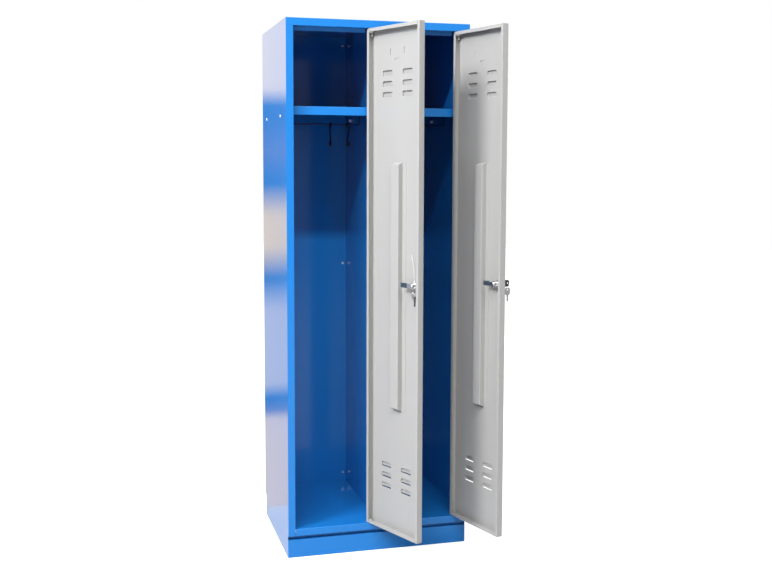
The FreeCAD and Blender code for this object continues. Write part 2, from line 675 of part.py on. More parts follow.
def bottom_pivot_pin(x):
    def up(z):
        return V(x, PIVOT_Y, z)
    under = FLOOR_TOP - SHEET
    return joined([rod(PIN_R, up(under), up(DOOR_BOTTOM + LOW_PIN_UP)),
                   rod(PIN_HEAD_R, up(under - PIN_R), up(under))])


def pivot_washer(x):
    return ring(WASHER_R, PIN_R, V(x, PIVOT_Y, FLOOR_TOP), V(x, PIVOT_Y, DOOR_BOTTOM - SEAM))


def top_bush(x):
    def up(z):
        return V(x, PIVOT_Y, z)
    sleeve = joined([rod(BUSH_R, up(RAIL_BOTTOM - BUSH_COLLAR), up(RAIL_BOTTOM + BUSH_UP)),
                     rod(BUSH_COLLAR_R, up(RAIL_BOTTOM - BUSH_COLLAR), up(RAIL_BOTTOM))])
    return sleeve.cut(rod(PIN_R + RUNNING, up(DOOR_TOP), up(HEIGHT)))


def door_buffer(wall_x, z):
    """A small pad on the post at the left of an opening, that the door's free edge closes against."""
    face = FRONT + DOOR_DEPTH + BUFFER_PLAY
    rear = face + BUFFER_WIDTH
    pad = box(wall_x, wall_x + BUFFER_WIDTH, face, rear, z, z + BUFFER_HEIGHT)
    foot = box(wall_x, wall_x + BUFFER_THICK, FRONT + POST_DEPTH / 2, rear, z, z + BUFFER_HEIGHT)
    return joined([pad, foot])


# ---------------------------------------------------------------- lock and keys
def flat_edges(shape, v):
    """The edges of a door piece that lie in the plane v."""
    face = at(0, v, 0).y
    return [edge for edge in shape.Edges
            if abs(edge.BoundBox.YMin - face) < NEAR and abs(edge.BoundBox.YMax - face) < NEAR]


def lock_square(v0, v1):
    return door_box(LOCK_U - TENON, LOCK_U + TENON, v0, v1, LOCK_Z - TENON, LOCK_Z + TENON)


def lock_hexagon(corner, v0, v1):
    points = [at(LOCK_U + corner * math.cos(math.radians(60 * i)), v0,
                 LOCK_Z + corner * math.sin(math.radians(60 * i))) for i in range(6)]
    return Part.Face(Part.makePolygon(points + points[:1])).extrude(V(0, v1 - v0, 0))


def lock_barrel():
    head = door_rod(LOCK_HEAD_R, LOCK_U, LOCK_Z, -LOCK_HEAD, 0)
    head = head.makeFillet(LOCK_HEAD_ROUND, flat_edges(head, -LOCK_HEAD))
    body = door_rod(BARREL_R, LOCK_U, LOCK_Z, 0, CAM_BACK - SEAM)
    bore = door_rod(PLUG_R + RUNNING, LOCK_U, LOCK_Z, -LOCK_HEAD - CUT, CAM_BACK)
    return joined([head, body]).cut(bore)


def lock_nut():
    end = SHEET + LOCK_NUT_THICK
    hexagon = lock_hexagon(LOCK_NUT_CORNER, SHEET, end)
    turned = hexagon.common(door_rod(LOCK_NUT_R, LOCK_U, LOCK_Z, SHEET, end))
    return turned.cut(door_rod(BARREL_R, LOCK_U, LOCK_Z, 0, end + CUT))


def lock_plug():
    keyway = door_box(LOCK_U - KEYWAY_WIDTH / 2, LOCK_U + KEYWAY_WIDTH / 2, -LOCK_HEAD - CUT, KEYWAY_DEPTH,
                      LOCK_Z - KEYWAY_HEIGHT / 2, LOCK_Z + KEYWAY_HEIGHT / 2)
    plug = door_rod(PLUG_R, LOCK_U, LOCK_Z, -PLUG_FRONT, CAM_BACK)
    return joined([plug, lock_square(CAM_BACK - CUT, CAM_BACK + CAM_THICK)]).cut(keyway)


def lock_cam():
    """Flat arm that points to the hinge when the lock is open."""
    v0, v1 = CAM_BACK, CAM_BACK + CAM_THICK
    half = CAM_WIDTH / 2
    arm = joined([door_rod(SCREW_FLANGE_R, LOCK_U, LOCK_Z, v0, v1),
                  door_box(LOCK_U - CAM_REACH + SHEET, LOCK_U, v0, v1, LOCK_Z - half, LOCK_Z + half)])
    return arm.cut(lock_square(v0 - CUT, v1 + CUT))


def cam_sleeve():
    """Plastic cap over the end of the arm."""
    u0 = LOCK_U - CAM_REACH
    u1 = u0 + SLEEVE_LENGTH
    half = CAM_WIDTH / 2
    rim = half + SLEEVE_WALL
    v0, v1 = CAM_BACK, CAM_BACK + CAM_THICK
    middle = (v0 + v1) / 2
    cap = door_box(u0, u1, middle - SLEEVE_RIM, middle + SLEEVE_RIM, LOCK_Z - rim, LOCK_Z + rim)
    cap = cap.makeFillet(SLEEVE_ROUND, cap.Edges)
    return cap.cut(door_box(u0 + SHEET, u1 + CUT, v0, v1, LOCK_Z - half, LOCK_Z + half))


def cam_screw():
    """Hexagon flange screw that holds the arm to the plug."""
    seat = CAM_BACK + CAM_THICK
    head = seat + SCREW_HEAD
    flange = door_rod(SCREW_FLANGE_R, LOCK_U, LOCK_Z, seat, seat + SCREW_FLANGE)
    hexagon = lock_hexagon(SCREW_CORNER, seat, head)
    hexagon = hexagon.makeFillet(SEAM, flat_edges(hexagon, head))
    return joined([flange, hexagon])


def flat_key(sizes, hole_r=BOW_HOLE_R):
    """A flat key in the X-Z plane: its ring hole's centre at the origin, its blade down."""
    bow_across, bow_along, blade_along, blade_across = sizes
    half = KEY_THICK / 2
    top = hole_r + KEY_HEAD - BOW_HOLE_R
    foot = top - bow_along - blade_along

    def upright(shape):
        return [edge for edge in shape.Edges if edge.BoundBox.YLength > KEY_THICK - NEAR]
    bow = box(-bow_across / 2, bow_across / 2, -half, half, top - bow_along, top)
    bow = bow.makeFillet(BOW_CORNER, upright(bow))
    blade = box(-blade_across / 2, blade_across / 2, -half, half, foot, top - bow_along + CUT)
    tip = [edge for edge in upright(blade) if edge.BoundBox.ZMax < foot + NEAR]
    blade = blade.makeChamfer(blade_across * BLADE_POINT, tip)
    teeth = [box(blade_across * TOOTH_ROOT, blade_across, -half - CUT, half + CUT, z, z + TOOTH_WIDTH)
             for z in (foot + TOOTH_FIRST + TOOTH_PITCH * i for i in range(TOOTH_COUNT))]
    hole = rod(hole_r, V(0, -half - CUT, 0), V(0, half + CUT, 0))
    return joined([bow, blade.cut(teeth)]).cut(hole)


def key_in_lock():
    """The right door's key, pushed home: its bow stands upright, square to the door."""
    key = flat_key(LOCK_KEY)
    key.rotate(V(0, 0, 0), UP, 90)                  # plate square to u
    key.rotate(V(0, 0, 0), V(1, 0, 0), 90)          # blade towards +v
    key.translate(at(LOCK_U, KEY_HOLE_V, LOCK_Z))
    return key


def ring_top():
    return at(LOCK_U, KEY_HOLE_V, LOCK_Z - BOW_HOLE_R + RING_WIRE_R + LINK_PLAY)


def key_ring():
    centre = ring_top() - UP * RING_R
    return Part.makeTorus(RING_R, RING_WIRE_R, centre, V(0, 1, 0))


def hanging_key():
    """The spare key, hanging from the key ring."""
    key = flat_key(HANGING_KEY)
    key.rotate(V(0, 0, 0), UP, 90)
    low = ring_top() - UP * (2 * RING_R)
    key.translate(low + UP * (RING_WIRE_R + LINK_PLAY - BOW_HOLE_R))
    return key


def tie_loop(grow):
    """Outline of the loop: round the barrel, then down to a smaller round end."""
    r1 = BARREL_R + TIE_PLAY + grow
    r2 = TIE_FOOT_R + grow
    a = math.asin((r1 - r2) / TIE_FOOT_DROP)
    c, s = math.cos(a), math.sin(a)

    def p(u, z):
        return at(LOCK_U + u, TIE_V - TIE_WIDTH / 2, LOCK_Z + z)
    foot = -TIE_FOOT_DROP
    return Part.Wire([
        arc(p(-r1 * c, -r1 * s), p(0, r1), p(r1 * c, -r1 * s)),
        line(p(r1 * c, -r1 * s), p(r2 * c, foot - r2 * s)),
        arc(p(r2 * c, foot - r2 * s), p(0, foot - r2), p(-r2 * c, foot - r2 * s)),
        line(p(-r2 * c, foot - r2 * s), p(-r1 * c, -r1 * s)),
    ])


def key_tie():
    """Nylon cable tie round the lock barrel: loop, head and the springy tail that stands up."""
    across = V(0, TIE_WIDTH, 0)
    loop = Part.Face(tie_loop(TIE_THICK)).extrude(across).cut(Part.Face(tie_loop(0)).extrude(across))
    top = LOCK_Z + BARREL_R + TIE_PLAY
    head = door_box(LOCK_U - TIE_HEAD / 2, LOCK_U + TIE_HEAD / 2, TIE_V - TIE_HEAD / 2, TIE_V + TIE_HEAD / 2,
                    top + TIE_THICK / 2, top + TIE_THICK / 2 + TIE_HEAD)

    def place(u, z):
        return at(LOCK_U + u, TIE_V - TIE_WIDTH / 2, top + z)
    half = TIE_THICK / 2
    start = TIE_HEAD - TIE_THICK
    tail = Part.Face(Part.Wire([
        arc(place(-half, start), place(-TIE_BOW - half, TIE_TAIL / 2), place(-TIE_LEAN - half, TIE_TAIL)),
        line(place(-TIE_LEAN - half, TIE_TAIL), place(-TIE_LEAN + half, TIE_TAIL)),
        arc(place(-TIE_LEAN + half, TIE_TAIL), place(-TIE_BOW + half, TIE_TAIL / 2), place(half, start)),
        line(place(half, start), place(-half, start)),
    ])).extrude(across)
    return joined([loop, head, tail])


def tie_spare_key():
    """The left spare key, hanging in the lower end of the cable tie."""
    key = flat_key(SPARE_KEY, SPARE_HOLE_R)
    key.rotate(V(0, 0, 0), UP, 90 - SPARE_TURN)
    key.translate(tie_foot() + UP * (SPARE_RIM - SPARE_HOLE_R))
    return key


def tie_foot():
    return at(LOCK_U, TIE_V, LOCK_Z - TIE_FOOT_DROP - TIE_FOOT_R - TIE_THICK / 2)


# ---------------------------------------------------------------- assembly
def save_door(side, pivot_x, opened, pieces):
    """Opens a door about its pivot, carries its pieces with it, and saves them all."""
    for name, solids in pieces.items():
        placed = []
        for solid in solids:
            solid = solid.copy()
            solid.rotate(V(0, 0, 0), UP, opened)
            solid.translate(V(pivot_x, PIVOT_Y, 0))
            placed.append(solid)
        save(side + "_" + name, *placed)


def main():
    os.makedirs("parts", exist_ok=True)
    side_panel = left_side_panel()
    left_shelf, left_rail = shelf(), coat_rail()
    left_opening, right_opening = LEFT + POST, POST / 2
    save("left_side_panel", side_panel)
    save("right_side_panel", mirrored(side_panel))
    save("roof_panel", roof_panel())
    save("floor_panel", floor_panel())
    save("divider_panel", divider_panel())
    save("centre_post", centre_post())
    save("back_panel", back_panel())
    save("left_door_stop", door_stop(left_opening))
    save("right_door_stop", door_stop(right_opening))
    save("plinth_front_board", plinth_front_board())
    save("plinth_rear_board", plinth_rear_board())
    save("left_shelf", left_shelf)
    save("right_shelf", mirrored(left_shelf))
    save("left_coat_rail", left_rail)
    save("right_coat_rail", mirrored(left_rail))
    save("rail_push_nuts", *push_nuts())
    save("shelf_support_studs", *shelf_supports())
    save("back_rivets", *back_rivets())
    save("bottom_pivot_pins", *[bottom_pivot_pin(x) for x in (LEFT_PIVOT_X, RIGHT_PIVOT_X)])
    save("pivot_washers", *[pivot_washer(x) for x in (LEFT_PIVOT_X, RIGHT_PIVOT_X)])
    save("top_pivot_bushes", *[top_bush(x) for x in (LEFT_PIVOT_X, RIGHT_PIVOT_X)])
    save("door_buffers",
         door_buffer(left_opening, LOWER_BUFFER_Z),
         door_buffer(right_opening, LOWER_BUFFER_Z),
         door_buffer(right_opening, UPPER_BUFFER_Z))

    for side, places in (("left", LEFT_HOOK_X), ("right", RIGHT_HOOK_X)):
        for number, (x, turn) in enumerate(zip(places, HOOK_TURN), start=1):
            save("%s_coat_hook_%d" % (side, number), s_hook(x, turn))

    door = {
        "door_panel": [door_panel()],
        "door_stiffener": [door_stiffener()],
        "bottom_pivot_bracket": [pivot_bracket(DOOR_BOTTOM, 1)],
        "top_pivot_bracket": [pivot_bracket(DOOR_TOP, -1)],
        "bracket_rivets": bracket_rivets(),
        "top_pivot_pin": [top_pivot_pin()],
        "lock_barrel": [lock_barrel()],
        "lock_nut": [lock_nut()],
        "lock_plug": [lock_plug()],
        "lock_cam": [lock_cam()],
        "cam_sleeve": [cam_sleeve()],
        "cam_screw": [cam_screw()],
    }
    save_door("left", LEFT_PIVOT_X, LEFT_OPEN, door)
    save_door("right", RIGHT_PIVOT_X, RIGHT_OPEN, door)
    save_door("left", LEFT_PIVOT_X, LEFT_OPEN, {"key_tie": [key_tie()], "spare_key": [tie_spare_key()]})
    save_door("right", RIGHT_PIVOT_X, RIGHT_OPEN,
              {"lock_key": [key_in_lock()], "key_ring": [key_ring()], "hanging_key": [hanging_key()]})


main()
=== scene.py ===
import json
import math
from collections import namedtuple

import bmesh
import bpy
from mathutils import Matrix, Vector


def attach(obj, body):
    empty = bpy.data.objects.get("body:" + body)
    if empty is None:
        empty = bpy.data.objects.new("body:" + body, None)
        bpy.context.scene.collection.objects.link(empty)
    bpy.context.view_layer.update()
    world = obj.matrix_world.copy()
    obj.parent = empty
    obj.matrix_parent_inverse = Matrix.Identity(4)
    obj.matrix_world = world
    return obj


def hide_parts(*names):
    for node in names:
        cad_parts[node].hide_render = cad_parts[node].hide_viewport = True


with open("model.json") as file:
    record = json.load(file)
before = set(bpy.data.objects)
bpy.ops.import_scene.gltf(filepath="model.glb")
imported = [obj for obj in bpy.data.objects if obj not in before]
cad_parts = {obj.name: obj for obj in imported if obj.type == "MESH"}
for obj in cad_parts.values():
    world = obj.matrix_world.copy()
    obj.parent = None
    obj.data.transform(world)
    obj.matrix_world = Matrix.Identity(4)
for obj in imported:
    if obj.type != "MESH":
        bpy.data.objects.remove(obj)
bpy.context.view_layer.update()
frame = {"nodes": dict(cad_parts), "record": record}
nodes = frame["nodes"]
joint_of = {joint["child"]: joint for joint in frame["record"]["behaviour"]["joints"]}


# ---------------------------------------------------------------- finishes
PAINT_SPECULAR = 0.12           # low, so that most of the gloss comes from the clear skin
SKIN_ROUGHNESS = 0.10
SKIN_INDEX = 1.35
DRIFT_OF_PAINT = 3.0            # how fine the drift between a material's two tones is
DRIFT_OF_METAL = 120.0
DRIFT_OF_PLASTIC = 60.0

# Nodes whose finish differs a little from the rest of their slot.
FINISH = {
    "back_rivets": "bright_rivet",
    "shelf_support_studs": "bright_rivet",
    "rail_push_nuts": "dull_zinc",
    "left_top_pivot_pin": "door_grey",
    "right_top_pivot_pin": "door_grey",
    "left_bracket_rivets": "door_grey",
    "right_bracket_rivets": "door_grey",
}


def new_material(name):
    """A material with its node tree, its Principled shader and a small function that adds a node."""
    material = bpy.data.materials.new(name)
    material.use_nodes = True
    tree = material.node_tree
    shader = tree.nodes["Principled BSDF"]

    def add(kind, **inputs):
        node = tree.nodes.new(kind)
        for key, value in inputs.items():
            node.inputs[key.replace("_", " ")].default_value = value
        return node

    return material, tree, shader, add


def rough_and_bump(tree, shader, add, coordinates, scale, roughness, spread, height, distance):
    """Fine relief and an uneven roughness, both from one noise."""
    noise = add("ShaderNodeTexNoise", Scale=scale, Detail=3.0)
    tree.links.new(coordinates, noise.inputs["Vector"])
    span = add("ShaderNodeMapRange", To_Min=roughness - spread, To_Max=roughness + spread)
    tree.links.new(noise.outputs["Fac"], span.inputs["Value"])
    tree.links.new(span.outputs["Result"], shader.inputs["Roughness"])
    bump = add("ShaderNodeBump", Strength=height, Distance=distance)
    tree.links.new(noise.outputs["Fac"], bump.inputs["Height"])
    tree.links.new(bump.outputs["Normal"], shader.inputs["Normal"])


def two_tone(tree, shader, add, coordinates, scale, first, second):
    """A base colour that drifts slowly between two tones."""
    noise = add("ShaderNodeTexNoise", Scale=scale, Detail=2.0)
    tree.links.new(coordinates, noise.inputs["Vector"])
    mix = tree.nodes.new("ShaderNodeMix")
    mix.data_type = "RGBA"
    factor, tone_a, tone_b, result = mix.inputs[0], mix.inputs[6], mix.inputs[7], mix.outputs[2]
    tone_a.default_value = (*first, 1.0)
    tone_b.default_value = (*second, 1.0)
    tree.links.new(noise.outputs["Fac"], factor)
    tree.links.new(result, shader.inputs["Base Color"])


def powder_coat(name, first, second, roughness, skin):
    """Baked powder paint: fine orange peel, a slight drift of tone and a clear skin on top."""
    material, tree, shader, add = new_material(name)
    coordinates = add("ShaderNodeTexCoord").outputs["Object"]
    two_tone(tree, shader, add, coordinates, DRIFT_OF_PAINT, first, second)
    rough_and_bump(tree, shader, add, coordinates, scale=700.0, roughness=roughness, spread=0.04,
                   height=0.10, distance=0.0004)
    shader.inputs["Specular IOR Level"].default_value = PAINT_SPECULAR
    shader.inputs["Coat Weight"].default_value = skin
    shader.inputs["Coat Roughness"].default_value = SKIN_ROUGHNESS
    shader.inputs["Coat IOR"].default_value = SKIN_INDEX
    return material


def metal(name, first, second, roughness):
    """Bare or plated metal with a fine grain."""
    material, tree, shader, add = new_material(name)
    coordinates = add("ShaderNodeTexCoord").outputs["Object"]
    two_tone(tree, shader, add, coordinates, DRIFT_OF_METAL, first, second)
    rough_and_bump(tree, shader, add, coordinates, scale=900.0, roughness=roughness, spread=0.06,
                   height=0.08, distance=0.0002)
    shader.inputs["Metallic"].default_value = 1.0
    return material


def plastic(name, first, second, roughness):
    """Moulded plastic with a very fine grain."""
    material, tree, shader, add = new_material(name)
    coordinates = add("ShaderNodeTexCoord").outputs["Object"]
    two_tone(tree, shader, add, coordinates, DRIFT_OF_PLASTIC, first, second)
    rough_and_bump(tree, shader, add, coordinates, scale=1500.0, roughness=roughness, spread=0.05,
                   height=0.12, distance=0.0002)
    return material


materials = {
    "body_blue": powder_coat("body_blue", (0.0085, 0.147, 0.452), (0.0095, 0.158, 0.480), 0.26, 1.0),
    "door_grey": powder_coat("door_grey", (0.318, 0.316, 0.312), (0.334, 0.332, 0.328), 0.34, 0.5),
    "zinc_steel": metal("zinc_steel", (0.55, 0.56, 0.58), (0.70, 0.71, 0.72), 0.32),
    "lock_chrome": metal("lock_chrome", (0.66, 0.66, 0.67), (0.76, 0.76, 0.77), 0.14),
    "rail_dark": powder_coat("rail_dark", (0.014, 0.030, 0.085), (0.020, 0.042, 0.110), 0.30, 0.2),
    "hook_black": powder_coat("hook_black", (0.0020, 0.0020, 0.0022), (0.0035, 0.0035, 0.0040), 0.35, 0.3),
    "sleeve_plastic": plastic("sleeve_plastic", (0.022, 0.036, 0.052), (0.030, 0.048, 0.066), 0.42),
    "bright_rivet": metal("bright_rivet", (0.80, 0.80, 0.80), (0.90, 0.90, 0.90), 0.55),
    "dull_zinc": metal("dull_zinc", (0.10, 0.12, 0.16), (0.16, 0.18, 0.22), 0.50),
    "key_black": plastic("key_black", (0.014, 0.014, 0.016), (0.024, 0.024, 0.026), 0.40),
    "key_steel": metal("key_steel", (0.50, 0.50, 0.51), (0.62, 0.62, 0.63), 0.25),
    "nylon_white": plastic("nylon_white", (0.60, 0.60, 0.58), (0.68, 0.68, 0.66), 0.45),
    "pad_blue": plastic("pad_blue", (0.150, 0.260, 0.500), (0.190, 0.310, 0.560), 0.50),
}
for subpart in frame["record"]["subparts"]:
    mesh = nodes[subpart["node"]].data
    mesh.materials.clear()
    mesh.materials.append(materials[FINISH.get(subpart["node"], subpart["material_slot"])])


# ---------------------------------------------------------------- meshes, drawn in millimetres
MM = Matrix.Diagonal((0.001, 0.001, 0.001, 1.0))
UPRIGHT = Matrix.Rotation(math.radians(90), 4, "X")     # lays a flat outline in the X-Z plane
SIDEWAYS = Matrix.Rotation(math.radians(90), 4, "Z")
SMOOTH_BELOW = math.radians(35)

DOME_ANGLES = (0, 25, 45, 60, 72, 81, 87)
# Corners of a strap's section, in half widths and half thicknesses.
STRAP_SECTION = ((1.0, 0.6), (0.85, 1.0), (-0.85, 1.0), (-1.0, 0.6),
                 (-1.0, -0.6), (-0.85, -1.0), (0.85, -1.0), (1.0, -0.6))


def new_piece(name, body, slot, parts, replaced=()):
    """One object from (mesh, matrix) parts. It rides on a body and may stand for CAD nodes."""
    joined = bmesh.new()
    for mesh, matrix in parts:
        part = mesh.copy()
        part.transform(matrix)
        joined.from_mesh(part)
        bpy.data.meshes.remove(part)
    bmesh.ops.recalc_face_normals(joined, faces=joined.faces)
    for face in joined.faces:
        face.smooth = True
    for edge in joined.edges:
        edge.smooth = len(edge.link_faces) == 2 and edge.calc_face_angle() < SMOOTH_BELOW
    mesh = bpy.data.meshes.new(name)
    joined.to_mesh(mesh)
    joined.free()
    mesh.materials.append(materials[slot])
    piece = bpy.data.objects.new(name, mesh)
    bpy.context.scene.collection.objects.link(piece)
    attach(piece, body)
    if replaced:
        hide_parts(*replaced)


def curve_mesh(curve):
    """The mesh of a curve, which is then thrown away."""
    holder = bpy.data.objects.new(curve.name, curve)
    mesh = bpy.data.meshes.new_from_object(holder)
    bpy.data.objects.remove(holder)
    bpy.data.curves.remove(curve)
    return mesh


def finished_mesh(name, made):
    """The mesh of a bmesh, which is then freed."""
    mesh = bpy.data.meshes.new(name)
    made.to_mesh(mesh)
    made.free()
    return mesh


def add_spline(curve, points, radii, closed):
    """A polyline in a curve, with a share of the bevel's radius at each point."""
    spline = curve.splines.new("POLY")
    spline.points.add(len(points) - 1)
    for target, point, radius in zip(spline.points, points, radii):
        target.co = (*point, 1.0)
        target.radius = radius
    spline.use_cyclic_u = closed


def plate(outlines, thickness, rim):
    """A flat piece with rounded rims: the first outline is its edge, the others are holes."""
    curve = bpy.data.curves.new("plate", "CURVE")
    curve.dimensions = "2D"
    curve.fill_mode = "BOTH"
    curve.extrude = thickness / 2 - rim
    curve.bevel_depth = rim
    curve.bevel_resolution = 2
    curve.offset = -rim
    for outline in outlines:
        add_spline(curve, [(x, y, 0.0) for x, y in outline], [1.0] * len(outline), closed=True)
    return curve_mesh(curve)


def dome(points, radii, radius):
    """Adds a half round to the last end of a wire, inside its length."""
    tip, before = Vector(points[-1]), Vector(points[-2])
    back = (before - tip).normalized()
    angles = [math.radians(angle) for angle in DOME_ANGLES]
    ends = [tuple(tip + back * radius * (1 - math.sin(angle))) for angle in angles]
    return points[:-1] + ends, radii[:-1] + [math.cos(angle) for angle in angles]


def wire(points, radius, domed):
    """A round wire. Domed ends shrink over their last radius."""
    curve = bpy.data.curves.new("wire", "CURVE")
    curve.dimensions = "3D"
    curve.bevel_depth = radius
    curve.bevel_resolution = 6
    curve.use_fill_caps = True
    radii = [1.0] * len(points)
    if domed:
        points, radii = dome(points, radii, radius)
        points, radii = dome(points[::-1], radii[::-1], radius)
    add_spline(curve, points, radii, closed=False)
    return curve_mesh(curve)


def lathe(profile, count=72):
    """A closed profile of (radius, along) points, turned about the Y axis."""
    made = bmesh.new()
    rings = []
    for step in range(count):
        angle = 2 * math.pi * step / count
        rings.append([made.verts.new((radius * math.cos(angle), along, radius * math.sin(angle)))
                      for radius, along in profile])
    for step in range(count):
        ring, following = rings[step], rings[(step + 1) % count]
        for here in range(len(profile)):
            beside = (here + 1) % len(profile)
            made.faces.new((ring[here], ring[beside], following[beside], following[here]))
    return finished_mesh("lathe", made)


def strap(points, widths, thicknesses, closed):
    """A flat strap that follows points in the X-Z plane. Its width lies along Y."""
    made = bmesh.new()
    count = len(points)
    rings = []
    for index, point in enumerate(points):
        ahead = points[(index + 1) % count] if closed or index + 1 < count else point
        behind = points[index - 1] if closed or index else point
        along = (Vector(ahead) - Vector(behind)).normalized()
        out = Vector((along.z, 0.0, -along.x)) * (thicknesses[index] / 2)
        side = Vector((0.0, widths[index] / 2, 0.0))
        rings.append([made.verts.new(Vector(point) + side * across + out * through)
                      for across, through in STRAP_SECTION])
    for index in range(count if closed else count - 1):
        ring, following = rings[index], rings[(index + 1) % count]
        for here in range(len(ring)):
            beside = (here + 1) % len(ring)
            made.faces.new((ring[here], ring[beside], following[beside], following[here]))
    if not closed:
        made.faces.new(rings[0][::-1])
        made.faces.new(rings[-1])
    return finished_mesh("strap", made)


# ---------------------------------------------------------------- outlines and lines
def arc_points(centre, radius, start, end, count):
    """Points on a circle in the X-Z plane, between two angles in degrees."""
    angles = [math.radians(start + (end - start) * step / count) for step in range(count + 1)]
    return [(centre[0] + radius * math.cos(angle), 0.0, centre[1] + radius * math.sin(angle))
            for angle in angles]


def three_point_arc(first, middle, last, count):
    """Points of the circle through three points in the X-Z plane, from the first to the last."""
    middle_x, middle_z = middle[0] - first[0], middle[1] - first[1]
    last_x, last_z = last[0] - first[0], last[1] - first[1]
    middle_square = middle_x ** 2 + middle_z ** 2
    last_square = last_x ** 2 + last_z ** 2
    area = 2 * (middle_x * last_z - middle_z * last_x)
    x = (last_z * middle_square - middle_z * last_square) / area
    z = (middle_x * last_square - last_x * middle_square) / area
    start = math.degrees(math.atan2(-z, -x))
    end = math.degrees(math.atan2(last_z - z, last_x - x))
    if abs(end - start) > 180:
        end += math.copysign(360, start - end)
    return arc_points((first[0] + x, first[1] + z), math.hypot(x, z), start, end, count)


def evenly(points, step, closed=False):
    """The same line with a point about every step."""
    line = [Vector(point) for point in points]
    if closed:
        line.append(line[0])
    result, carry = [line[0]], 0.0
    for start, end in zip(line, line[1:]):
        length = (end - start).length
        place = step - carry
        while place < length:
            result.append(start.lerp(end, place / length))
            place += step
        carry = length - (place - step)
    return result[:-1] if closed else result


def rounded_box(left, right, bottom, top, radius, count=8):
    """Outline of a rectangle with round corners, from its lower right corner and round to the left."""
    corners = ((right - radius, bottom + radius, 270), (right - radius, top - radius, 0),
               (left + radius, top - radius, 90), (left + radius, bottom + radius, 180))
    outline = []
    for x, y, start in corners:
        for step in range(count + 1):
            angle = math.radians(start + 90 * step / count)
            outline.append((x + radius * math.cos(angle), y + radius * math.sin(angle)))
    return outline


def circle(radius, count=32):
    """Outline of a round hole."""
    angles = [2 * math.pi * step / count for step in range(count)]
    return [(radius * math.cos(angle), radius * math.sin(angle)) for angle in angles]


# ---------------------------------------------------------------- coat hooks
HOOK_WIRE = 2.5                 # radius of the wire
EYE_RADIUS = 9.5
EYE_DROP = 3.75                 # from the rail's axis down to the eye's middle
EYE_START = 250.0               # degrees round the eye, where the wire begins
MOUTH_RADIUS = 7.0
MOUTH_DROP = 65.2               # from the eye's middle down to the mouth's
HOOK_TIP = 9.0                  # straight end above the mouth's middle
# How far each hook is turned about the upright, in degrees.
HOOK_TURNS = {"left_coat_hook_1": 0.0, "left_coat_hook_2": -44.0,
              "right_coat_hook_1": 0.0, "right_coat_hook_2": -44.0}


def coat_hook(name, turn):
    """Wire S hook: an eye round the rail and an open hook below."""
    eye, mouth = (0.0, -EYE_DROP), (0.0, -EYE_DROP - MOUTH_DROP)
    lean = math.degrees(math.asin((EYE_RADIUS + MOUTH_RADIUS) / MOUTH_DROP))
    points = arc_points(eye, EYE_RADIUS, EYE_START, -lean, 40)
    points += arc_points(mouth, MOUTH_RADIUS, 180 - lean, 360, 28)
    points.append((MOUTH_RADIUS, 0.0, mouth[1] + HOOK_TIP))
    on_rail = Matrix.Translation(joint_of[name]["pos_m"])
    place = on_rail @ Matrix.Rotation(math.radians(90 + turn), 4, "Z") @ MM
    new_piece("wire_" + name, name, "hook_black", [(wire(points, HOOK_WIRE, domed=True), place)], [name])


# ---------------------------------------------------------------- locks
BARREL_RADIUS = 9.4
BORE_RADIUS = 6.55
BARREL_END = 24.2               # inner end of the barrel, from the door's outer face
END_CHAMFER, BORE_CHAMFER = 0.6, 0.3
HEAD_RADIUS = 11.5
HEAD_FRONT = -3.5
HEAD_ROUND, HEAD_CHAMFER = 1.2, 0.4
THREAD_START, THREAD_PITCH, THREAD_TURNS = 6.6, 1.25, 13
THREAD_GROOVE = ((0.40, 0.55), (0.52, 0.55), (0.88, 0.0), (1.0, 0.0))     # share of a pitch, depth


def lock_frame(side):
    """From a lock's own axes in millimetres (x to the hinge, y inwards, z up) to the scene.

    A door is closed at its hinge's lower limit, so that limit says how far it is drawn open.
    """
    opened = -joint_of[side + "_door"]["range_deg"][0]
    place = Matrix.Translation(joint_of[side + "_lock"]["pos_m"])
    return place @ Matrix.Rotation(math.radians(opened), 4, "Z") @ MM


def lock_barrel(side):
    """Barrel with a domed head and a threaded body."""
    profile = [(BORE_RADIUS, HEAD_FRONT + HEAD_CHAMFER), (BORE_RADIUS + HEAD_CHAMFER, HEAD_FRONT)]
    rim = arc_points((HEAD_RADIUS - HEAD_ROUND, HEAD_FRONT + HEAD_ROUND), HEAD_ROUND, -90, 0, 3)
    profile += [(radius, along) for radius, _, along in rim]
    profile += [(HEAD_RADIUS, 0.0), (BARREL_RADIUS, 0.0), (BARREL_RADIUS, THREAD_START)]
    for turn in range(THREAD_TURNS):
        for along, depth in THREAD_GROOVE:
            profile.append((BARREL_RADIUS - depth, THREAD_START + THREAD_PITCH * (turn + along)))
    profile += [(BARREL_RADIUS, BARREL_END - END_CHAMFER), (BARREL_RADIUS - END_CHAMFER, BARREL_END),
                (BORE_RADIUS + BORE_CHAMFER, BARREL_END), (BORE_RADIUS, BARREL_END - BORE_CHAMFER)]
    node = side + "_lock_barrel"
    new_piece("threaded_" + node, side + "_door", "lock_chrome", [(lathe(profile), lock_frame(side))], [node])


# ---------------------------------------------------------------- cable tie on the left lock
TIE_INWARDS = 12.0              # from the door's outer face
TIE_WIDTH, TIE_THICK = 2.4, 1.1
LOOP_RADIUS = 10.35             # round the barrel
FOOT_RADIUS, FOOT_DROP = 5.55, 22.0
TOOTH_STEP = 0.7                # from a tooth to the gap beside it
TOOTH_DEPTH = 0.3
TAIL_TOOTH = 0.75               # thickness between the tail's teeth, as a share
TAIL_LENGTH = 90.0
TAIL_BOW, TAIL_LEAN = 5.0, 17.0             # how far its middle and its tip lie to the side
TAPER_STEPS = 18                # tooth steps over which the tail thins to its tip
TIP_WIDTH = 0.35                # share of the width that is left at the tip
THICK_TAPER = 0.5               # the thickness tapers by this share of what the width does
TIE_HEAD, TIE_HEAD_ROUND, TIE_HEAD_RIM = 5.0, 1.2, 0.4
SLOT_PLAY = 0.15


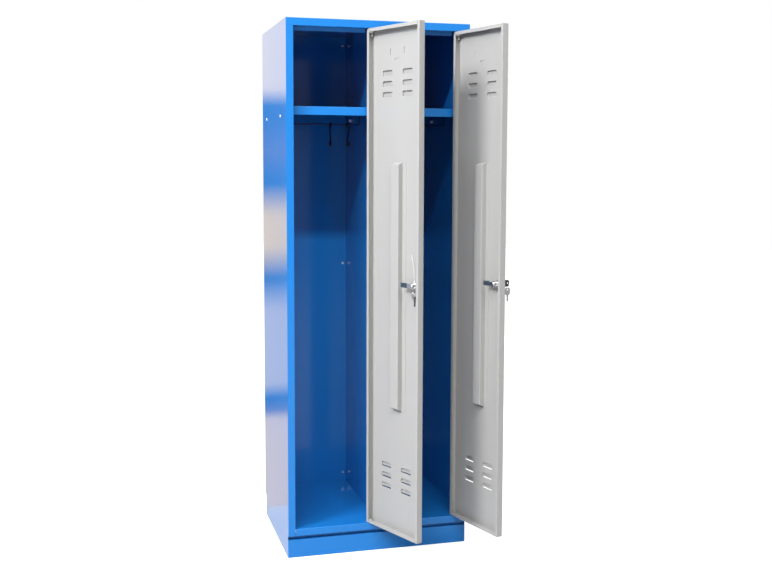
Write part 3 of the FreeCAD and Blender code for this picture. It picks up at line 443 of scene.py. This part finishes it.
def tie_loop():
    """Toothed loop round the barrel, with a narrower foot that holds the spare key."""
    lean = math.degrees(math.asin((LOOP_RADIUS - FOOT_RADIUS) / FOOT_DROP))
    loop = arc_points((0, 0), LOOP_RADIUS, 180 + lean, -lean, 48)
    loop += arc_points((0, -FOOT_DROP), FOOT_RADIUS, -lean, -180 + lean, 32)
    loop = evenly(loop, TOOTH_STEP, closed=True)
    teeth = [TIE_THICK if index % 2 else TIE_THICK - TOOTH_DEPTH for index in range(len(loop))]
    return strap(loop, [TIE_WIDTH] * len(loop), teeth, closed=True)


def tie_tail():
    """Springy toothed tail that thins to its tip."""
    base = LOOP_RADIUS + TIE_HEAD - TIE_THICK
    foot = LOOP_RADIUS - TIE_THICK / 2
    tail = three_point_arc((0, base), (TAIL_BOW, foot + TAIL_LENGTH / 2), (TAIL_LEAN, foot + TAIL_LENGTH), 60)
    tail = evenly(tail, TOOTH_STEP)
    widths, thicknesses = [], []
    for index in range(len(tail)):
        from_tip = (len(tail) - 1 - index) / TAPER_STEPS
        taper = min(1.0, TIP_WIDTH + (1 - TIP_WIDTH) * from_tip)
        tooth = 1.0 if index % 2 else TAIL_TOOTH
        widths.append(TIE_WIDTH * taper)
        thicknesses.append(TIE_THICK * tooth * (1 - THICK_TAPER * (1 - taper)))
    return strap(tail, widths, thicknesses, closed=False)


def tie_head():
    """Ratchet head: a block with a slot for the strap."""
    half = TIE_HEAD / 2
    across, deep = TIE_THICK / 2 + SLOT_PLAY, TIE_WIDTH / 2 + SLOT_PLAY
    window = [(-across, -deep), (across, -deep), (across, deep), (-across, deep)]
    return plate([rounded_box(-half, half, -half, half, TIE_HEAD_ROUND), window], TIE_HEAD, TIE_HEAD_RIM)


def cable_tie():
    """Nylon tie on the left lock's barrel, which holds the spare key."""
    place = lock_frame("left") @ Matrix.Translation((0.0, TIE_INWARDS, 0.0))
    lift = Matrix.Translation((0.0, 0.0, LOOP_RADIUS + TIE_HEAD / 2))
    parts = [(tie_loop(), place), (tie_tail(), place), (tie_head(), place @ lift)]
    new_piece("nylon_cable_tie", "left_door", "nylon_white", parts, ["left_key_tie"])


# ---------------------------------------------------------------- keys and their ring
Key = namedtuple("Key", "bow_across bow_along blade_along blade_across")
LOCK_KEY = Key(22.0, 24.0, 32.0, 8.0)
HANGING_KEY = Key(20.0, 25.0, 21.0, 6.5)
SPARE_KEY = Key(20.0, 22.0, 23.0, 6.5)
KEY_THICK, KEY_RIM = 2.0, 0.25
BOW_ROUND = 7.5
BOW_OVER_HOLE = 3.0
HOLE_RADIUS, SPARE_HOLE_RADIUS = 3.0, 4.2
KEY_POINT = 0.3                 # width of a blade's end, as a share of the blade's
KEY_CUTS = (1.4, 0.8, 1.9, 1.1)
CUT_START, CUT_STEP = 2.0, 3.6
CUT_SLOPE, CUT_FLAT = 1.1, 1.0
COVER_THICK, COVER_RIM, COVER_ROUND = 2.8, 0.6, 7.0
COVER_SIDES, COVER_ENDS = 3.0, 2.0          # how far the cover reaches past the key inside it
INNER_THINNER, INNER_RIM, INNER_HOLE = 0.2, 0.2, 0.4
KEY_HOLE_Y = -32.0              # the right key's hole, in front of its door
RING_RADIUS, RING_WIRE = 8.5, 0.45
RING_TURNS = 2
RING_START = 100                # degrees round the ring, where the wire begins
LINK = 1.2                      # from a hole's edge to the middle of the ring in it
RING_TOP = LINK - HOLE_RADIUS
SPARE_RIM, SPARE_TURN = 2.2, 30.0


def key_outline(key, top):
    """Edge of a flat key, its blade down and its cuts on the right."""
    shoulder = top - key.bow_along
    foot = shoulder - key.blade_along
    half = key.blade_across / 2
    outline = rounded_box(-key.bow_across / 2, key.bow_across / 2, shoulder, top, BOW_ROUND)
    outline += [(-half, shoulder), (-half, foot + half), (-half * KEY_POINT, foot), (half * KEY_POINT, foot)]
    for index, depth in enumerate(KEY_CUTS):
        level = foot + CUT_START + CUT_STEP * index
        flat_end = level + CUT_SLOPE + CUT_FLAT
        outline += [(half, level), (half - depth, level + CUT_SLOPE),
                    (half - depth, flat_end), (half, flat_end + CUT_SLOPE)]
    return outline + [(half, shoulder)]


def flat_key(name, body, key, hole, place, replaced):
    """Steel key that hangs by its hole."""
    outline = key_outline(key, hole + BOW_OVER_HOLE)
    parts = [(plate([outline, circle(hole)], KEY_THICK, KEY_RIM), place @ UPRIGHT)]
    new_piece(name, body, "key_steel", parts, [replaced])


def lock_key():
    """Key in the right lock: a plastic cover over a steel blade."""
    into_lock = Matrix.Rotation(math.radians(90), 4, "X") @ SIDEWAYS
    place = lock_frame("right") @ Matrix.Translation((0.0, KEY_HOLE_Y, 0.0)) @ into_lock @ UPRIGHT
    top = HOLE_RADIUS + BOW_OVER_HOLE
    half = LOCK_KEY.bow_across / 2
    cover = rounded_box(-half, half, top - LOCK_KEY.bow_along, top, COVER_ROUND)
    cover_mesh = plate([cover, circle(HOLE_RADIUS)], COVER_THICK, COVER_RIM)
    new_piece("lock_key_cover", "right_lock", "key_black", [(cover_mesh, place)], ["right_lock_key"])
    inner = Key(LOCK_KEY.bow_across - 2 * COVER_SIDES, LOCK_KEY.bow_along - 2 * COVER_ENDS,
                LOCK_KEY.blade_along + COVER_ENDS, LOCK_KEY.blade_across)
    blade = [key_outline(inner, top - COVER_ENDS), circle(HOLE_RADIUS + INNER_HOLE)]
    blade_mesh = plate(blade, KEY_THICK - INNER_THINNER, INNER_RIM)
    new_piece("lock_key_blade", "right_lock", "key_steel", [(blade_mesh, place)])


def split_ring():
    """Key ring of two close turns."""
    count = 72 * RING_TURNS
    points = []
    for step in range(count + 1):
        angle = math.radians(RING_START + 360 * RING_TURNS * step / count)
        along = RING_WIRE * (2.0 * step / count - 1.0)
        points.append((RING_RADIUS * math.cos(angle), along, RING_RADIUS * math.sin(angle)))
    place = lock_frame("right") @ Matrix.Translation((0.0, KEY_HOLE_Y, RING_TOP - RING_RADIUS))
    new_piece("split_key_ring", "right_key_ring", "lock_chrome",
              [(wire(points, RING_WIRE, domed=False), place)], ["right_key_ring"])


def hanging_key():
    """Second key, on the ring."""
    low = RING_TOP - 2 * RING_RADIUS + LINK - HOLE_RADIUS
    place = lock_frame("right") @ Matrix.Translation((0.0, KEY_HOLE_Y, low)) @ SIDEWAYS
    flat_key("hanging_key_plate", "right_hanging_key", HANGING_KEY, HOLE_RADIUS, place, "right_hanging_key")


def spare_key():
    """Key in the foot of the cable tie."""
    low = -FOOT_DROP - FOOT_RADIUS + SPARE_RIM - SPARE_HOLE_RADIUS
    turned = Matrix.Rotation(math.radians(90 - SPARE_TURN), 4, "Z")
    place = lock_frame("left") @ Matrix.Translation((0.0, TIE_INWARDS, low)) @ turned
    flat_key("spare_key_plate", "left_spare_key", SPARE_KEY, SPARE_HOLE_RADIUS, place, "left_spare_key")


for hook_name, hook_turn in HOOK_TURNS.items():
    coat_hook(hook_name, hook_turn)
for door_side in ("left", "right"):
    lock_barrel(door_side)
cable_tie()
split_ring()
lock_key()
hanging_key()
spare_key()


# ---------------------------------------------------------------- floor, light and camera, in metres
FLOOR_RADIUS = 14.0
FLOOR_GREY = 0.46
FLOOR_ROUGHNESS = 0.85
FLOOR_GLOW = 0.75               # only the camera sees it, so it throws no light on the object
# How bright the room is, from the front (0) over the sides (0.5) to behind the object (1).
ROOM_LIGHT = ((0.0, 0.44), (0.5, 0.68), (1.0, 1.00))

Lamp = namedtuple("Lamp", "name place target width height power")
LAMPS = (
    Lamp("key_light", (-3.0, -6.0, 6.8), (-3.0, 0.0, 1.3), 8.0, 0.4, 900.0),
    Lamp("left_light", (-4.4, -2.6, 4.6), (0.0, -0.4, 1.0), 1.5, 1.5, 430.0),
)

# Light that only glossy surfaces see. Each band is a place along the card and its light there.
WHITE = (1.28, 1.06, 0.78)
CREAM = (1.24, 0.88, 0.32)
WARM = (1.0, 0.8, 0.6)
LILAC = (0.74, 0.70, 0.72)
DUSK = (0.18, 0.22, 0.48)
BLUE = (0.00, 0.16, 0.52)
CEILING = (2.6, 2.6, 2.6)
WALL_BANDS = (
    (0.0, LILAC), (0.4, LILAC), (0.6, BLUE), (0.8, CREAM), (1.0, CREAM),
    (1.2, BLUE), (1.4, DUSK), (1.7, BLUE), (1.8, WHITE), (2.6, WHITE),
)
FLOOR_BANDS = ((0.3, WARM), (1.7, WARM), (1.9, DUSK), (2.2, BLUE), (2.6, LILAC), (3.0, LILAC))
CEILING_BANDS = ((-4.5, CEILING), (2.0, CEILING))

Card = namedtuple("Card", "name low high axis bands")
CARDS = (
    Card("wall_card", (-1.3, 3.0, 0.0), (-0.45, 3.0, 2.6), "Z", WALL_BANDS),
    Card("ceiling_card", (-4.0, -4.5, 4.2), (3.0, 2.0, 4.2), "Y", CEILING_BANDS),
    Card("floor_card", (-1.3, 0.3, 0.002), (-0.34, 3.0, 0.002), "Y", FLOOR_BANDS),
)

CAMERA_LENS, CAMERA_SENSOR = 49.260, 36.0
CAMERA_SHIFT = -0.0390
CAMERA_PLACE = (-0.9145, -3.6740, 1.3270)
CAMERA_DOWN, CAMERA_ROLL, CAMERA_RIGHT = 5.139, -0.169, 15.295         # degrees


def studio_floor():
    """Pale floor that fades into the white backdrop."""
    bpy.ops.mesh.primitive_circle_add(vertices=96, radius=FLOOR_RADIUS, fill_type="NGON")
    floor = bpy.context.object
    floor.name = "studio_floor"
    material, tree, shader, add = new_material("studio_floor")
    shader.inputs["Base Color"].default_value = (FLOOR_GREY, FLOOR_GREY, FLOOR_GREY, 1.0)
    shader.inputs["Roughness"].default_value = FLOOR_ROUGHNESS
    shader.inputs["Emission Color"].default_value = (1.0, 1.0, 1.0, 1.0)
    seen = add("ShaderNodeLightPath").outputs["Is Camera Ray"]
    glow = add("ShaderNodeMapRange", To_Max=FLOOR_GLOW)
    tree.links.new(seen, glow.inputs["Value"])
    tree.links.new(glow.outputs["Result"], shader.inputs["Emission Strength"])
    floor.data.materials.append(material)


def area_light(lamp):
    """A soft rectangular lamp that stays out of the picture."""
    data = bpy.data.lights.new(lamp.name, "AREA")
    data.shape = "RECTANGLE"
    data.size = lamp.width
    data.size_y = lamp.height
    data.energy = lamp.power
    holder = bpy.data.objects.new(lamp.name, data)
    holder.location = lamp.place
    towards = Vector(lamp.target) - Vector(lamp.place)
    holder.rotation_euler = towards.to_track_quat("-Z", "Y").to_euler()
    holder.visible_camera = False
    bpy.context.scene.collection.objects.link(holder)


def colour_ramp(tree, stops):
    """A ramp through (place, (r, g, b)) stops."""
    ramp = tree.nodes.new("ShaderNodeValToRGB")
    elements = ramp.color_ramp.elements
    while len(elements) < len(stops):
        elements.new(1.0)
    for element, (place, colour) in zip(elements, stops):
        element.position = place
        element.color = (*colour, 1.0)
    return ramp


def studio_world():
    """A soft room: bright behind the object, dim in front of it, and white to the camera."""
    world = bpy.data.worlds.new("studio")
    world.use_nodes = True
    tree = world.node_tree
    direction = tree.nodes.new("ShaderNodeTexCoord").outputs["Generated"]
    split = tree.nodes.new("ShaderNodeSeparateXYZ")
    tree.links.new(direction, split.inputs["Vector"])
    span = tree.nodes.new("ShaderNodeMapRange")
    span.inputs["From Min"].default_value = -1.0
    tree.links.new(split.outputs["Y"], span.inputs["Value"])
    ramp = colour_ramp(tree, [(place, (grey, grey, grey)) for place, grey in ROOM_LIGHT])
    tree.links.new(span.outputs["Result"], ramp.inputs["Fac"])
    room = tree.nodes["Background"]
    tree.links.new(ramp.outputs["Color"], room.inputs["Color"])
    backdrop = tree.nodes.new("ShaderNodeBackground")
    backdrop.inputs["Color"].default_value = (1.0, 1.0, 1.0, 1.0)
    seen = tree.nodes.new("ShaderNodeLightPath").outputs["Is Camera Ray"]
    choice = tree.nodes.new("ShaderNodeMixShader")
    tree.links.new(seen, choice.inputs["Fac"])
    tree.links.new(room.outputs["Background"], choice.inputs[1])
    tree.links.new(backdrop.outputs["Background"], choice.inputs[2])
    tree.links.new(choice.outputs["Shader"], tree.nodes["World Output"].inputs["Surface"])
    bpy.context.scene.world = world


def reflection_card(card):
    """A far card that only glossy surfaces see, banded along one axis."""
    (x0, y0, z0), (x1, y1, z1) = card.low, card.high
    mesh = bpy.data.meshes.new(card.name)
    mesh.from_pydata([(x0, y0, z0), (x1, y0, z0), (x1, y1, z1), (x0, y1, z1)], [], [(0, 1, 2, 3)])
    holder = bpy.data.objects.new(card.name, mesh)
    bpy.context.scene.collection.objects.link(holder)
    material, tree, shader, add = new_material(card.name)
    tree.nodes.remove(shader)
    split = add("ShaderNodeSeparateXYZ")
    tree.links.new(add("ShaderNodeTexCoord").outputs["Object"], split.inputs["Vector"])
    start, end = card.bands[0][0], card.bands[-1][0]
    span = add("ShaderNodeMapRange", From_Min=start, From_Max=end)
    tree.links.new(split.outputs[card.axis], span.inputs["Value"])
    ramp = colour_ramp(tree, [((place - start) / (end - start), light) for place, light in card.bands])
    tree.links.new(span.outputs["Result"], ramp.inputs["Fac"])
    glow = add("ShaderNodeEmission")
    tree.links.new(ramp.outputs["Color"], glow.inputs["Color"])
    tree.links.new(glow.outputs["Emission"], tree.nodes["Material Output"].inputs["Surface"])
    mesh.materials.append(material)
    holder.visible_camera = False
    holder.visible_diffuse = False
    holder.visible_transmission = False
    holder.visible_volume_scatter = False
    holder.visible_shadow = False


def studio_camera():
    """Camera in front and to the left, looking a little down."""
    data = bpy.data.cameras.new("camera")
    data.lens = CAMERA_LENS
    data.sensor_width = CAMERA_SENSOR
    data.shift_y = CAMERA_SHIFT
    camera = bpy.data.objects.new("camera", data)
    camera.location = CAMERA_PLACE
    turns = (90 - CAMERA_DOWN, CAMERA_ROLL, -CAMERA_RIGHT)
    camera.rotation_euler = [math.radians(turn) for turn in turns]
    bpy.context.scene.collection.objects.link(camera)
    bpy.context.scene.camera = camera


studio_floor()
studio_world()
for studio_lamp in LAMPS:
    area_light(studio_lamp)
for studio_card in CARDS:
    reflection_card(studio_card)
studio_camera()
bpy.context.scene.view_settings.view_transform = "Standard"
